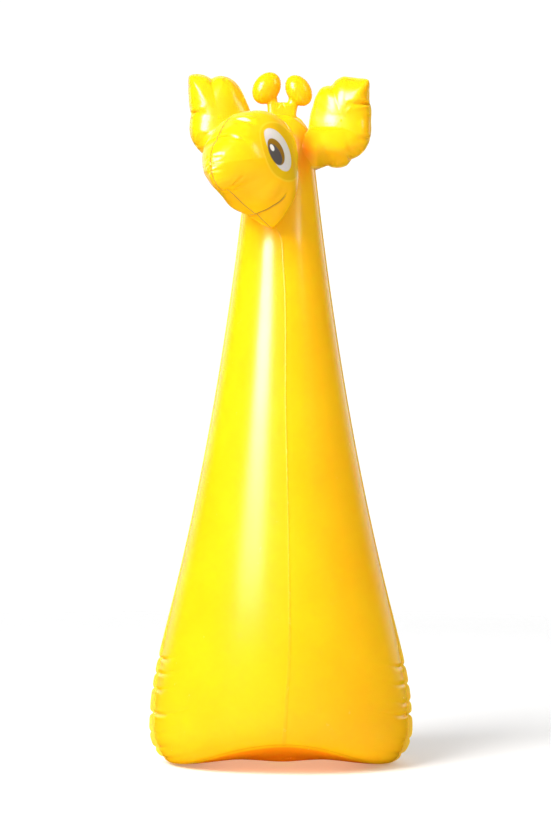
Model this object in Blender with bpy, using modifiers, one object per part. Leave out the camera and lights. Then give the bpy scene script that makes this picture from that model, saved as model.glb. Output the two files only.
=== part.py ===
"""Inflatable giraffe: a tall cone-shaped body of welded vinyl that stands on its own feet.

Metres, +Z up.  The origin is the middle of the flat patch that rests on the floor.  The
giraffe's body faces -Y, so its own left side is +X.  Its head is turned to its right.
"""
import bmesh
import bpy
from math import asin, atan2, cos, exp, hypot, log, pi, radians, sin
from mathutils import Matrix, Vector

# Clearance between neighbouring pieces
GAP = 0.0004

# Neck and body, seen from the front
NECK_TOP = 0.844
DOME_HEIGHT = 0.074
NECK_SHOULDER = NECK_TOP - DOME_HEIGHT
NECK_WIDTH = 0.090
NECK_TOP_SQUARENESS = 2.6
HIP_HEIGHT = 0.213
HIP_WIDTH = 0.282
FLARE_LENGTH = 0.692
BASE_WIDTH = 0.3455
BASE_EASE = 0.0067

# Body, seen from the side
NECK_DEPTH = 0.092
HIP_DEPTH = 0.236
BASE_DEPTH = 0.262
DOME_FULLNESS = 0.9
KEEL = 0.03

# Sharpness of a level section's sides: an ellipse up the neck, pointed at the feet
ELLIPSE_SHARPNESS = 0.5
FOOT_SHARPNESS = 0.62

# Feet, the arched hem between them and the bottom panel
FOOT_HEIGHT = 0.050
FOOT_TUCK = 0.038
HEM_TUCK = 0.020
ARCH_HEIGHT = 0.040
ARCH_ROUNDING = 2.6
PATCH_SHARE = 0.26
GUSSET_FULLNESS = 1.4

# Head: its middle point, measured from the front and the top of the neck, its turn to the
# side, its roll with the left cheek up, and its side profile as distances from that point
HEAD_PROUD = 0.028
HEAD_ASIDE = 0.032
HEAD_DROP = 0.080
HEAD_TURN = radians(40.0)
HEAD_ROLL = radians(11.0)
HEAD_WIDTH = 0.103
HEAD_SQUARENESS = 2.5
SNOUT_SQUARENESS = 2.0
LIP_SQUARENESS = 1.6
NOSE = 0.086
FOREHEAD = 0.0735
CROWN = 0.075
BACK_TOP = 0.074
NAPE = 0.046
THROAT = 0.055
CHIN = 0.0745
MOUTH = 0.0595
UNDER_LIP = 0.0585
LIP = 0.083
LIP_ANGLE = radians(25.0)
HEAD_PROFILE = [
    (5.0, NOSE), (42.0, FOREHEAD), (80.0, CROWN), (127.0, BACK_TOP), (180.0, NAPE),
    (215.0, THROAT), (258.0, CHIN), (281.0, MOUTH), (314.0, UNDER_LIP), (341.0, LIP),
]

# Ears: one outline, mirrored, its middle placed from the neck's side and top.  The
# giraffe's right ear stands a little higher and further out.
LEFT_EAR_ASIDE = 0.031
LEFT_EAR_DROP = 0.0095
RIGHT_EAR_ASIDE = 0.034
RIGHT_EAR_DROP = 0.0055
EAR_BACK = 0.008
EAR_WIDTH = 0.078
EAR_LENGTH = 0.117
EAR_THICKNESS = 0.046
EAR_TIP_SQUARENESS = 6.0
EAR_LOBE_SQUARENESS = 2.0
EAR_FOOT_SQUARENESS = 3.0
EAR_HEEL_SQUARENESS = 2.1
EAR_NOTCH = 0.005
EAR_NOTCH_SPREAD = radians(7.0)
EAR_TOP_NOTCH = radians(105.0)
EAR_FOOT_NOTCH = radians(-73.0)
EAR_RIM_FULLNESS = 0.8
EAR_PILLOW_FULLNESS = 1.1

# Horns: two flat balloons on short tapered stems, joined by a web
HORN_SIZE = 0.0385
HORN_THICKNESS = 0.024
HORN_SPACING = 0.041
HORN_MIDDLE = 0.0023
HORN_RISE = 0.0335
STEM_FOOT_WIDTH = 0.018
STEM_NECK_WIDTH = 0.011
STEM_THICKNESS = 0.013
STEM_SPLAY = 0.024
STEM_SINK = 0.015
WEB_THICKNESS = 0.009
WEB_OVERLAP = 1.1

# Inflation valve, low on the back
VALVE_WIDTH = 0.030
VALVE_RIM = 0.0016
VALVE_PLUG_WIDTH = 0.014
VALVE_PLUG_HEIGHT = 0.005
VALVE_HEIGHT = 0.150
VALVE_TURN = radians(62.0)

# Mesh density
WALL_CROWDING = 1.6
BODY_SEGMENTS = 48
BODY_RINGS = 28
GUSSET_RINGS = 5
DOME_RINGS = 5
HEAD_SEGMENTS = 32
HEAD_RINGS = 18
EAR_SEGMENTS = 40
EAR_RINGS = 10
BALL_SEGMENTS = 20
STEM_SEGMENTS = 10
HORN_MESH = 0.002
HORN_MESH_SHARE = 0.18
HORN_SMOOTHING = 2
VALVE_SEGMENTS = 24
VALVE_PROBE = 0.004


def clear_scene():
    """Empty the scene and drop the meshes and materials that nothing uses."""
    for item in list(bpy.data.objects):
        bpy.data.objects.remove(item, do_unlink=True)
    for collection in list(bpy.data.collections):
        bpy.data.collections.remove(collection)


def new_collection(name):
    collection = bpy.data.collections.new(name)
    bpy.context.scene.collection.children.link(collection)
    return collection


def plastic(name, colour, roughness):
    """A glossy plastic in one colour."""
    material = bpy.data.materials.new(name)
    material.use_nodes = True
    shader = material.node_tree.nodes["Principled BSDF"]
    shader.inputs["Base Color"].default_value = (*colour, 1.0)
    shader.inputs["Roughness"].default_value = roughness
    shader.inputs["Metallic"].default_value = 0.0
    return material


def add_object(name, bm, material, collection):
    """Turn a bmesh into a smooth-shaded object of its own."""
    mesh = bpy.data.meshes.new(name)
    bm.to_mesh(mesh)
    bm.free()
    mesh.materials.append(material)
    mesh.shade_smooth()
    item = bpy.data.objects.new(name, mesh)
    collection.objects.link(item)
    return item


def shaped_sphere(segments, rings, place):
    """A UV sphere whose points go where place(longitude, latitude) says."""
    bm = bmesh.new()
    bmesh.ops.create_uvsphere(bm, u_segments=segments, v_segments=rings, radius=1.0)
    for vertex in bm.verts:
        longitude = atan2(vertex.co.y, vertex.co.x)
        latitude = asin(max(-1.0, min(1.0, vertex.co.z)))
        vertex.co = place(longitude, latitude)
    return bm


def power(value, exponent):
    """A power that keeps the sign of its base."""
    return abs(value) ** exponent if value >= 0 else -abs(value) ** exponent


def soft_minimum(first, second, ease):
    """The smaller of two sizes, with the change from one to the other rounded."""
    return -ease * log(exp(-first / ease) + exp(-second / ease))


def flare(height, neck_half, hip_half):
    """Half-width of the flaring body at a height: it widens faster towards the floor."""
    rise = exp((NECK_SHOULDER - height) / FLARE_LENGTH) - 1.0
    full_rise = exp((NECK_SHOULDER - HIP_HEIGHT) / FLARE_LENGTH) - 1.0
    return neck_half + (hip_half - neck_half) * rise / full_rise


def body_half_width(height):
    return soft_minimum(flare(height, NECK_WIDTH / 2, HIP_WIDTH / 2), BASE_WIDTH / 2, BASE_EASE)


def body_half_depth(height):
    return soft_minimum(flare(height, NECK_DEPTH / 2, HIP_DEPTH / 2), BASE_DEPTH / 2, BASE_EASE)


def hem_height(turn):
    """Height of the hem around the base: arches at front and back, feet at the sides."""
    return ARCH_HEIGHT * abs(sin(turn)) ** ARCH_ROUNDING


def section_point(turn, half_width, half_depth, sharpness, height):
    """A point of a level section, with pointed sides and a slight keel front and back."""
    keel = 1.0 + KEEL * (1.0 - abs(cos(turn)))
    depth = half_depth * keel * power(sin(turn), 2 * sharpness)
    return Vector((half_width * cos(turn), depth, height))


def wall_point(turn, above_hem):
    """A point of the body's wall, a given height above the hem."""
    height = hem_height(turn) + above_hem
    tuck = 0.0
    if above_hem < FOOT_HEIGHT:
        tuck = 1.0 - (1.0 - (1.0 - above_hem / FOOT_HEIGHT) ** 2) ** 0.5
    half_width = body_half_width(height) - FOOT_TUCK * tuck
    half_depth = body_half_depth(height) - HEM_TUCK * tuck
    level = min(1.0, height / NECK_SHOULDER)
    sharpness = ELLIPSE_SHARPNESS + (FOOT_SHARPNESS - ELLIPSE_SHARPNESS) * (1.0 - level) ** 2
    return section_point(turn, half_width, half_depth, sharpness, height)


def gusset_point(turn, share):
    """A point of the bottom panel, from the resting patch (0) out to the hem (1)."""
    hem = wall_point(turn, 0.0)
    reach = PATCH_SHARE + (1.0 - PATCH_SHARE) * share
    return Vector((hem.x * reach, hem.y * reach, hem.z * share ** GUSSET_FULLNESS))


def dome_point(turn, angle):
    """A point of the neck's rounded top, from its shoulder (0) to its crown (90 degrees)."""
    half_width = body_half_width(NECK_SHOULDER) * power(cos(angle), 2 / NECK_TOP_SQUARENESS)
    half_depth = body_half_depth(NECK_SHOULDER) * power(cos(angle), DOME_FULLNESS)
    height = NECK_SHOULDER + DOME_HEIGHT * power(sin(angle), 2 / NECK_TOP_SQUARENESS)
    return section_point(turn, half_width, half_depth, ELLIPSE_SHARPNESS, height)


def body_place(longitude, latitude):
    """Where a point of the sphere goes on the body: gusset, then wall, then neck top."""
    ring = (latitude / pi + 0.5) * BODY_RINGS
    wall_rings = BODY_RINGS - GUSSET_RINGS - DOME_RINGS
    if ring < 0.5:
        return Vector((0.0, 0.0, 0.0))
    if ring <= GUSSET_RINGS:
        return gusset_point(longitude, (ring - 1.0) / (GUSSET_RINGS - 1.0))
    if ring <= GUSSET_RINGS + wall_rings:
        share = (ring - GUSSET_RINGS) / wall_rings
        full = NECK_SHOULDER - hem_height(longitude)
        return wall_point(longitude, full * share ** WALL_CROWDING)
    share = (ring - GUSSET_RINGS - wall_rings) / DOME_RINGS
    return dome_point(longitude, share * pi / 2)


def smooth_ring(stations, angle):
    """Radius at an angle, on a smooth closed curve through (degrees, radius) stations."""
    count = len(stations)
    degrees_round = (angle * 180.0 / pi) % 360.0
    for index in range(count):
        start, end = stations[index][0], stations[(index + 1) % count][0]
        span = (end - start) % 360.0
        along = (degrees_round - start) % 360.0
        if along <= span:
            break
    before, first = stations[index - 1][1], stations[index][1]
    second, after = stations[(index + 1) % count][1], stations[(index + 2) % count][1]
    t = along / span
    return 0.5 * (2 * first + (second - before) * t
                  + (2 * before - 5 * first + 4 * second - after) * t ** 2
                  + (3 * first - before - 3 * second + after) * t ** 3)


def head_place(longitude, latitude):
    """Where a point of the sphere goes on the head, whose middle plane is the equator."""
    reach = smooth_ring(HEAD_PROFILE, longitude)
    snout = max(0.0, cos(longitude))
    lip = snout * exp(-((longitude + LIP_ANGLE) / LIP_ANGLE) ** 2)
    squareness = HEAD_SQUARENESS + (SNOUT_SQUARENESS - HEAD_SQUARENESS) * snout
    squareness += (LIP_SQUARENESS - SNOUT_SQUARENESS) * lip
    round_off = 2.0 / squareness
    spread = reach * power(cos(latitude), round_off)
    side = HEAD_WIDTH / 2 * power(sin(latitude), round_off)
    return Vector((spread * cos(longitude), side, spread * sin(longitude)))


def head_frame():
    """Axes of the head: x forward to the nose, y to the giraffe's left, z up."""
    forward = Vector((-sin(HEAD_TURN), -cos(HEAD_TURN), 0.0))
    up = Matrix.Rotation(HEAD_ROLL, 3, forward) @ Vector((0.0, 0.0, 1.0))
    left = up.cross(forward)
    frame = Matrix((forward, left, up)).transposed().to_4x4()
    frame.translation = Vector((-HEAD_ASIDE, -NECK_DEPTH / 2 - HEAD_PROUD, NECK_TOP - HEAD_DROP))
    return frame


def ear_outline(turn):
    """Distance from the middle of the ear to its rim: a leaf with one square outer tip."""
    outer, upper = cos(turn) > 0, sin(turn) > 0
    if outer and upper:
        squareness = EAR_TIP_SQUARENESS
    elif upper:
        squareness = EAR_LOBE_SQUARENESS
    elif outer:
        squareness = EAR_HEEL_SQUARENESS
    else:
        squareness = EAR_FOOT_SQUARENESS
    across = abs(cos(turn)) / (EAR_WIDTH / 2)
    along = abs(sin(turn)) / (EAR_LENGTH / 2)
    rim = (across ** squareness + along ** squareness) ** (-1.0 / squareness)
    for notch in (EAR_TOP_NOTCH, EAR_FOOT_NOTCH):
        rim -= EAR_NOTCH * exp(-((turn - notch) / EAR_NOTCH_SPREAD) ** 2)
    return rim


def ear_place(longitude, latitude):
    """Where a point of the sphere goes on the ear, a flat pillow with a thin rim."""
    reach = ear_outline(longitude) * cos(latitude) ** EAR_RIM_FULLNESS
    thickness = EAR_THICKNESS / 2 * power(sin(latitude), EAR_PILLOW_FULLNESS)
    return Vector((reach * cos(longitude), -thickness, reach * sin(longitude)))


def make_body(name, material, collection):
    bm = shaped_sphere(BODY_SEGMENTS, BODY_RINGS, body_place)
    return add_object(name, bm, material, collection)


def make_head(name, material, collection):
    """The sphere's pole is turned onto the cheeks, so its equator is the middle seam."""
    def place(longitude, latitude):
        return head_place(-longitude, latitude)
    bm = shaped_sphere(HEAD_SEGMENTS, HEAD_RINGS, place)
    head = add_object(name, bm, material, collection)
    head.matrix_world = head_frame()
    return head


def make_ear(name, side, aside, drop, material, collection):
    """One ear; side is 1 for the giraffe's left and -1 for its right."""
    bm = shaped_sphere(EAR_SEGMENTS, EAR_RINGS, ear_place)
    if side < 0:
        bmesh.ops.scale(bm, vec=(-1.0, 1.0, 1.0), verts=bm.verts)
        bmesh.ops.reverse_faces(bm, faces=bm.faces)
    ear = add_object(name, bm, material, collection)
    ear.location = (side * (NECK_WIDTH / 2 + aside), EAR_BACK, NECK_TOP - drop)
    return ear


def modify_boolean(item, operation, other):
    modifier = item.modifiers.new(operation.title() + " " + other.name, "BOOLEAN")
    modifier.operation = operation
    modifier.solver = "EXACT"
    modifier.object = other


def make_cutter(item, name, collection):
    """A copy of a piece, larger by the gap all round, that leaves room for that piece."""
    cutter = item.copy()
    cutter.name = name
    cutter.modifiers.clear()
    room = cutter.modifiers.new("Room", "DISPLACE")
    room.strength = GAP
    room.mid_level = 0.0
    collection.objects.link(cutter)
    hide_guide(cutter)
    return cutter


def hide_guide(item):
    item.hide_render = True
    item.display_type = "WIRE"


def horn_shapes():
    """The forms that the horns are welded from: for each side a ball and a stem, and a web."""
    ball_height = NECK_TOP + HORN_RISE
    foot_height = NECK_TOP - STEM_SINK
    for side in (-1, 1):
        ball = bmesh.new()
        bmesh.ops.create_uvsphere(ball, u_segments=BALL_SEGMENTS, v_segments=BALL_SEGMENTS // 2,
                                  radius=HORN_SIZE / 2)
        flatten = HORN_THICKNESS / HORN_SIZE
        bmesh.ops.scale(ball, vec=(1.0, flatten, 1.0), verts=ball.verts)
        top = Vector((HORN_MIDDLE + side * HORN_SPACING / 2, 0.0, ball_height))
        bmesh.ops.translate(ball, vec=top, verts=ball.verts)
        yield ball
        stem = bmesh.new()
        bmesh.ops.create_cone(stem, cap_ends=True, segments=STEM_SEGMENTS, radius1=STEM_FOOT_WIDTH / 2,
                              radius2=STEM_NECK_WIDTH / 2, depth=1.0)
        foot = Vector((HORN_MIDDLE + side * STEM_SPLAY / 2, 0.0, foot_height))
        flatten = STEM_THICKNESS / STEM_FOOT_WIDTH
        for vertex in stem.verts:
            middle = foot.lerp(top, vertex.co.z + 0.5)
            vertex.co = middle + Vector((vertex.co.x, vertex.co.y * flatten, 0.0))
        yield stem
    web = bmesh.new()
    bmesh.ops.create_uvsphere(web, u_segments=BALL_SEGMENTS, v_segments=BALL_SEGMENTS // 2, radius=0.5)
    web_height = ball_height - HORN_SIZE / 2 - foot_height
    size = (STEM_SPLAY + STEM_NECK_WIDTH, WEB_THICKNESS, web_height * WEB_OVERLAP)
    bmesh.ops.scale(web, vec=size, verts=web.verts)
    bmesh.ops.translate(web, vec=(HORN_MIDDLE, 0.0, foot_height + web_height / 2), verts=web.verts)
    yield web


def make_horns(material, collection):
    """Two flattened balls on tapered stems with a web between the stems, all one piece."""
    joined = bmesh.new()
    for shape in horn_shapes():
        piece = bpy.data.meshes.new("horn_form")
        shape.to_mesh(piece)
        shape.free()
        joined.from_mesh(piece)
        bpy.data.meshes.remove(piece)
    horns = add_object("horns", joined, material, collection)
    weld = horns.modifiers.new("Weld into one skin", "REMESH")
    weld.mode = "VOXEL"
    weld.voxel_size = HORN_MESH
    weld.use_smooth_shade = True
    smooth = horns.modifiers.new("Round off", "SMOOTH")
    smooth.factor = 0.5
    smooth.iterations = HORN_SMOOTHING
    thin_out = horns.modifiers.new("Thin out", "DECIMATE")
    thin_out.ratio = HORN_MESH_SHARE
    return horns


def make_valve(material, collection):
    """A turned valve: a thin rim welded flat on the vinyl, and a plug pushed into it."""
    bm = bmesh.new()
    profile = [(0.0, 0.0), (VALVE_WIDTH / 2, 0.0), (VALVE_WIDTH / 2, VALVE_RIM),
               (VALVE_PLUG_WIDTH / 2, VALVE_RIM), (VALVE_PLUG_WIDTH / 2, VALVE_PLUG_HEIGHT),
               (0.0, VALVE_PLUG_HEIGHT)]
    points = [bm.verts.new((radius, 0.0, height)) for radius, height in reversed(profile)]
    for first, second in zip(points, points[1:]):
        bm.edges.new((first, second))
    valve = add_object("valve", bm, material, collection)
    turn = valve.modifiers.new("Turn", "SCREW")
    turn.steps = VALVE_SEGMENTS
    turn.render_steps = VALVE_SEGMENTS
    turn.use_merge_vertices = True
    turn.merge_threshold = 0.00001
    above = VALVE_HEIGHT - hem_height(VALVE_TURN)
    seat = wall_point(VALVE_TURN, above)
    up = wall_point(VALVE_TURN, above + VALVE_PROBE) - seat
    across = wall_point(VALVE_TURN + VALVE_PROBE, above) - seat
    out = across.cross(up).normalized()
    frame = Matrix((across.normalized(), out.cross(across.normalized()), out)).transposed().to_4x4()
    frame.translation = seat + out * GAP
    valve.matrix_world = frame
    return valve


def build():
    clear_scene()
    parts = new_collection("inflatable_giraffe")
    cutters = new_collection("cutters")
    yellow = plastic("yellow_vinyl", (0.95, 0.62, 0.01), 0.25)
    clear = plastic("valve_vinyl", (0.85, 0.80, 0.55), 0.35)

    body = make_body("body", yellow, parts)
    head = make_head("head", yellow, parts)
    left_ear = make_ear("ear_left", 1, LEFT_EAR_ASIDE, LEFT_EAR_DROP, yellow, parts)
    right_ear = make_ear("ear_right", -1, RIGHT_EAR_ASIDE, RIGHT_EAR_DROP, yellow, parts)
    horns = make_horns(yellow, parts)
    make_valve(clear, parts)

    body_room = make_cutter(body, "body_room", cutters)
    head_room = make_cutter(head, "head_room", cutters)
    modify_boolean(head, "DIFFERENCE", body_room)
    for item in (left_ear, right_ear, horns):
        modify_boolean(item, "DIFFERENCE", body_room)
        modify_boolean(item, "DIFFERENCE", head_room)


build()
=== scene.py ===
"""Looks of the inflatable giraffe: welded yellow vinyl, full of air, on a white studio floor.

Metres, +Z up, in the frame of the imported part.  The giraffe's body faces -Y, its own left
is +X and its head is turned to its right.  Every skin here is a grid of points that is
worked out from the part's sizes, then pressed into welds, creases and puckers.
"""
from math import cos, pi, radians, sin

import bmesh
import bpy
import numpy as np
from mathutils import Matrix, Vector


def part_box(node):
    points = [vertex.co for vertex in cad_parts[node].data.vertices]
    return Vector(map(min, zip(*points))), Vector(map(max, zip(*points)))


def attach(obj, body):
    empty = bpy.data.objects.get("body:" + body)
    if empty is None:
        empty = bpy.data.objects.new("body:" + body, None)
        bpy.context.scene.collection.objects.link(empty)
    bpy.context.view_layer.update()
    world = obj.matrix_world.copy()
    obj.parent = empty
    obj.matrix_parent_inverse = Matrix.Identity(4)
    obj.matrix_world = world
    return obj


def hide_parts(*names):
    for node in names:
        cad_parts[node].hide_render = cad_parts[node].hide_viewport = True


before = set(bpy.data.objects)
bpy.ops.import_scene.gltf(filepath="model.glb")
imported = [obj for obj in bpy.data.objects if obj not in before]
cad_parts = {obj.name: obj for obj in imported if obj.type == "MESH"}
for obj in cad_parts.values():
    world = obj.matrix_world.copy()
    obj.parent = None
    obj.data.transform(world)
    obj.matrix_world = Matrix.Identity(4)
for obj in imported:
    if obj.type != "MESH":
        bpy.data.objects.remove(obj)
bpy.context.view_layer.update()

BODY_LOW, BODY_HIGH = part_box("body")
VALVE_LOW, VALVE_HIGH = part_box("valve")
MM = 0.001

# Camera: level, straight in front, where the photograph was taken from
CAMERA_PLACE = (-7 * MM, -3.2, 0.456)
IMAGE_HEIGHT_AT_OBJECT = 826 * 1.3 * MM
SENSOR = 36.0

# Body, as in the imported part
NECK_TOP = BODY_HIGH.z
NECK_SHOULDER = NECK_TOP - 74 * MM
NECK_WIDTH = 90 * MM
NECK_DEPTH = 92 * MM
NECK_TOP_SQUARENESS = 2.6
HIP_HEIGHT = 213 * MM
HIP_WIDTH = 282 * MM
HIP_DEPTH = 236 * MM
FLARE_LENGTH = 692 * MM
BASE_WIDTH = BODY_HIGH.x - BODY_LOW.x
BASE_DEPTH = 262 * MM
BASE_EASE = 6.7 * MM
KEEL = 0.03
FOOT_HEIGHT = 50 * MM
FOOT_TUCK = 38 * MM
HEM_TUCK = 20 * MM
ARCH_HEIGHT = 40 * MM
ARCH_ROUNDING = 2.6
FOOT_SHARPNESS = 0.62
PATCH_SHARE = 0.26
GUSSET_FULLNESS = 1.2
GUSSET_LIFT = 7 * MM

# Side weld: a flat margin of two sheets outside the inflated skin
MARGIN_FOOT = 6.5 * MM
MARGIN_NECK = 1.5 * MM
MARGIN_FADE = 260 * MM
SHEET = 0.45 * MM
RIGHT_PUCKERS = [139 * MM, 118.6 * MM, 99.3 * MM, 66.8 * MM, 42 * MM, 21 * MM, 7.8 * MM]
LEFT_PUCKERS = [129 * MM, 104.6 * MM, 82 * MM, 64.9 * MM, 32.8 * MM, 12.2 * MM]
DEEP_PUCKERS = (66.8 * MM, 64.9 * MM)
PUCKER_NOTCH = 2.8 * MM
PUCKER_WIDTH = 2.6 * MM
PUCKER_LENGTH = 20 * MM
# Small wrinkles across the front of the neck: start and end, their width and depth
WRINKLES = [((28 * MM, 446 * MM), (72 * MM, 449 * MM)), ((30 * MM, 440 * MM), (66 * MM, 437 * MM))]
WRINKLE_WIDTH = 1.6 * MM
WRINKLE_DEPTH = 0.22 * MM

# Front and back seams: a raised weld that wanders a little to the giraffe's left
SEAM_PATH = [(0.0, 2 * MM), (28 * MM, 3 * MM), (86 * MM, 6 * MM), (145 * MM, 10 * MM), (265 * MM, 10 * MM),
             (335 * MM, 9 * MM), (450 * MM, 6.5 * MM), (650 * MM, 3 * MM), (681 * MM, 0.0),
             (697 * MM, -8 * MM), (720 * MM, -14 * MM), (850 * MM, -14 * MM)]
SEAM_HEIGHT = 0.22 * MM
SEAM_WIDTH_LOW = 5 * MM
SEAM_WIDTH_HIGH = 1.8 * MM

# Head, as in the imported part
HEAD_PLACE = (-32 * MM, -74 * MM, NECK_TOP - 80 * MM)
HEAD_TURN = radians(40)
HEAD_ROLL = radians(11)
HEAD_WIDTH = 103 * MM
# Its sections across the seam: degrees up from straight ahead, squareness, and how sharply
# the two sides meet at the seam.  Its profile: the same degrees, and distance from its middle.
HEAD_SECTIONS = [(0, 2.21, 0.134), (30, 2.56, 0.042), (60, 2.34, 0.05), (95, 2.88, 0.0), (180, 2.62, 0.0),
                 (225, 2.11, 0.01), (250, 1.76, 0.03), (275, 1.56, 0.045), (295, 2.0, 0.05),
                 (315, 1.77, 0.12), (335, 1.68, 0.175), (350, 1.91, 0.175)]
HEAD_POLE = 2.4
HEAD_DETAIL = 0.42 * HEAD_WIDTH / 2
CHEEK_BLUR = radians(16)
HEAD_PROFILE = [
    (4, 85.5 * MM), (18, 81 * MM), (28, 75 * MM), (39, 73.5 * MM), (52, 74 * MM), (70, 76 * MM),
    (90, 75 * MM), (127, 74 * MM), (180, 46 * MM), (215, 55 * MM), (238, 67 * MM), (258, 75 * MM),
    (268, 67.5 * MM), (281, 59.5 * MM), (300, 57.5 * MM), (318, 59.5 * MM), (330, 65 * MM), (338, 80 * MM),
    (346, 86 * MM), (355, 87 * MM),
]

# Ears: middle of each, its outline in millimetres as seen from the front, and its creases
# as (start, end, width, depth) in millimetres from its middle; a raised one has depth < 0
EAR_BACK = 8 * MM
EAR_THICKNESS = 46 * MM
EAR_MARGIN = 1.6 * MM
LEFT_EAR_PLACE = (78 * MM, EAR_BACK, NECK_TOP - 9.5 * MM)
LEFT_EAR_OUTLINE = [
    (-41.8, -4.1), (-36.9, 19.1), (-31.1, 35.7), (-24.5, 45.0), (-17.0, 47.6), (-12.0, 48.0), (-6.5, 54.2),
    (3.0, 58.6), (12.9, 57.4), (22.9, 56.0), (34.3, 53.6), (36.2, 50.5), (36.6, 40.0), (36.9, 27.0),
    (38.4, 20.0), (39.1, 0.9), (39.0, -15.0), (37.0, -25.0), (31.5, -36.0), (24.0, -43.5), (16.5, -47.3),
    (13.5, -49.2), (7.4, -56.4), (-2.2, -58.8), (-10.5, -58.2), (-18.0, -55.0), (-25.0, -52.4),
    (-37.0, -45.0), (-43.0, -26.0),
]
LEFT_EAR_FOLDS = [
    ((37.5, 22.5), (6.0, 19.5), 2.6, 3.4), ((34.0, 50.0), (2.0, 14.0), 11.0, -2.2),
    ((-15.0, 48.5), (-11.0, 39.0), 2.4, 1.2), ((-29.0, 40.0), (-23.0, 35.0), 2.0, 1.2),
    ((39.0, -21.0), (19.0, -25.5), 2.6, 2.4), ((14.8, -48.5), (-3.0, -43.5), 2.6, 2.4),
    ((38.5, 6.0), (30.0, 3.0), 2.2, 0.6), ((-8.0, -58.0), (-10.0, -50.0), 2.2, 0.8),
    ((28.0, -40.0), (18.0, -32.0), 2.8, 0.9),
]
RIGHT_EAR_PLACE = (-81 * MM, EAR_BACK, NECK_TOP - 5.5 * MM)
RIGHT_EAR_OUTLINE = [
    (41.5, 9.5), (36.5, 21.5), (31.3, 33.3), (25.4, 43.9), (18.7, 51.0), (10.7, 55.3), (2.7, 56.9),
    (-4.5, 55.6), (-9.9, 53.6), (-14.0, 56.0), (-20.0, 58.4), (-27.0, 59.6), (-34.6, 58.8), (-38.6, 56.6),
    (-39.4, 52.0), (-39.4, 43.3), (-39.2, 30.0), (-38.2, 16.8), (-36.2, 7.2), (-37.7, -3.1), (-38.2, -13.1),
    (-35.6, -25.0), (-31.0, -33.5), (-20.4, -44.9), (-10.0, -54.0), (2.0, -58.5), (12.0, -58.0),
    (26.0, -52.0), (38.0, -38.0), (43.5, -14.0),
]
RIGHT_EAR_FOLDS = [
    ((-37.5, 7.2), (-15.0, 6.5), 2.6, 2.6), ((-36.0, 54.0), (-16.0, 8.0), 11.0, -1.4),
    ((-9.6, 55.5), (-6.0, 43.0), 3.6, 1.4), ((6.0, 46.0), (22.0, 16.0), 11.0, -0.8),
    ((8.0, 50.0), (12.0, 42.0), 2.8, 0.9), ((-37.0, -8.0), (-27.0, -11.0), 2.4, 0.5),
    ((-29.0, -35.0), (-21.0, -28.0), 2.6, 1.0), ((34.0, 28.0), (26.0, 26.0), 2.4, 0.6),
]
EAR_COLUMNS = 400
EAR_RINGS = 55
EAR_BLEND = 8 * MM
# How far each ear leans back (+) or forward (-) for each metre across and upwards
LEFT_EAR_SLANT = (-0.26, -0.15)
RIGHT_EAR_SLANT = (-0.06, 0.0)
# Where each ear grows out of the neck: degrees round the ear to the middle of its root, how
# far to each side, how much further it reaches there, and the heights over which the root
# begins and ends.  From ROOT_START outwards the neck's front runs on into the ear: it levels
# off over ROOT_RUN, and past ROOT_END it bends back.
LEFT_EAR_ROOT = 225
RIGHT_EAR_ROOT = 315
ROOT_SPAN = 30
ROOT_REACH = 17 * MM
ROOT_LOW = (764 * MM, 800 * MM)
ROOT_HIGH = (818 * MM, 842 * MM)
ROOT_START = 22.5 * MM
ROOT_RUN = 14 * MM
ROOT_END = 30 * MM
ROOT_BEND = 60 * MM

# Horns: middle, half-sizes across and along, and lean of each small balloon; foot, top and
# half-width of its stem; middle, half-sizes and roundness of the sheets they rise from; then
# the creases, and the puckers of each balloon's rim
HORN_BALLS = [((-18.6 * MM, 0.0, 878.3 * MM), (17.0 * MM, 22.0 * MM), radians(33)),
              ((23.1 * MM, 0.0, 875.2 * MM), (15.6 * MM, 21.5 * MM), radians(-32))]
HORN_STEMS = [((-9.6 * MM, 842 * MM), (-12.2 * MM, 872 * MM), 6.4 * MM),
              ((11.9 * MM, 842 * MM), (18.0 * MM, 870 * MM), 6.6 * MM)]
HORN_THICKNESS = 24 * MM
STEM_FOOT = 1.12
STEM_THICKNESS = 4.8 * MM
HORN_SHEETS = [((1.5 * MM, 835.7 * MM), (18.3 * MM, 5.2 * MM, 24 * MM), 0.5),
               ((1.5 * MM, 832 * MM), (28 * MM, 4.5 * MM, 12.5 * MM), 1.0)]
HORN_MESH = 0.55 * MM
HORN_RIM = 0.4 * MM
HORN_FOLDS = [((-0.6, 859.0), (-5.8, 850.5), 1.2, 0.8), ((1.5, 859.0), (6.5, 849.5), 1.2, 0.8)]
HORN_PUCKERS = 12
HORN_PUCKER_WIDTH = 1.1 * MM
HORN_PUCKER_DEPTH = (0.15 * MM, 0.5 * MM)

# Valve, low on the back: its profile from the vinyl out to the middle of the plug, in
# millimetres as (radius, height)
VALVE_TURN = radians(62)
VALVE_ABOVE_FLOOR = (VALVE_LOW.z + VALVE_HIGH.z) / 2
VALVE_SHARPNESS = 0.585
VALVE_PROFILE = [(1.0, 0.05), (15.0, 0.05), (15.0, 0.6), (14.4, 1.2), (12.2, 1.5), (11.4, 1.1), (8.8, 1.1),
                 (8.4, 1.6), (8.2, 3.2), (7.9, 3.7), (7.2, 3.8), (7.0, 3.4), (6.8, 3.3), (6.6, 4.4),
                 (6.0, 4.9), (2.0, 4.9), (1.6, 4.5), (0.6, 4.5)]

# Colours, in linear light
VINYL = (0.95, 0.52, 0.004)
VINYL_DEEP = (0.93, 0.48, 0.003)
SEAM_TINT = (0.62, 0.30, 0.002)
HEAD_SEAM_TINT = (0.35, 0.16, 0.002)
# Painted shade: the deep orange painted into the gaps and onto the bottom panel
PAINTED_SHADE_ORANGE = (0.93, 0.25, 0.002)
# Painted light: the thin weld margins are painted paler, as they look with light shining through them
FLANGE_PAINTED_LIGHT = (0.96, 0.62, 0.10)
VALVE_VINYL = (0.80, 0.74, 0.52)
VALVE_VINYL_DEEP = (0.74, 0.66, 0.42)

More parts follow.
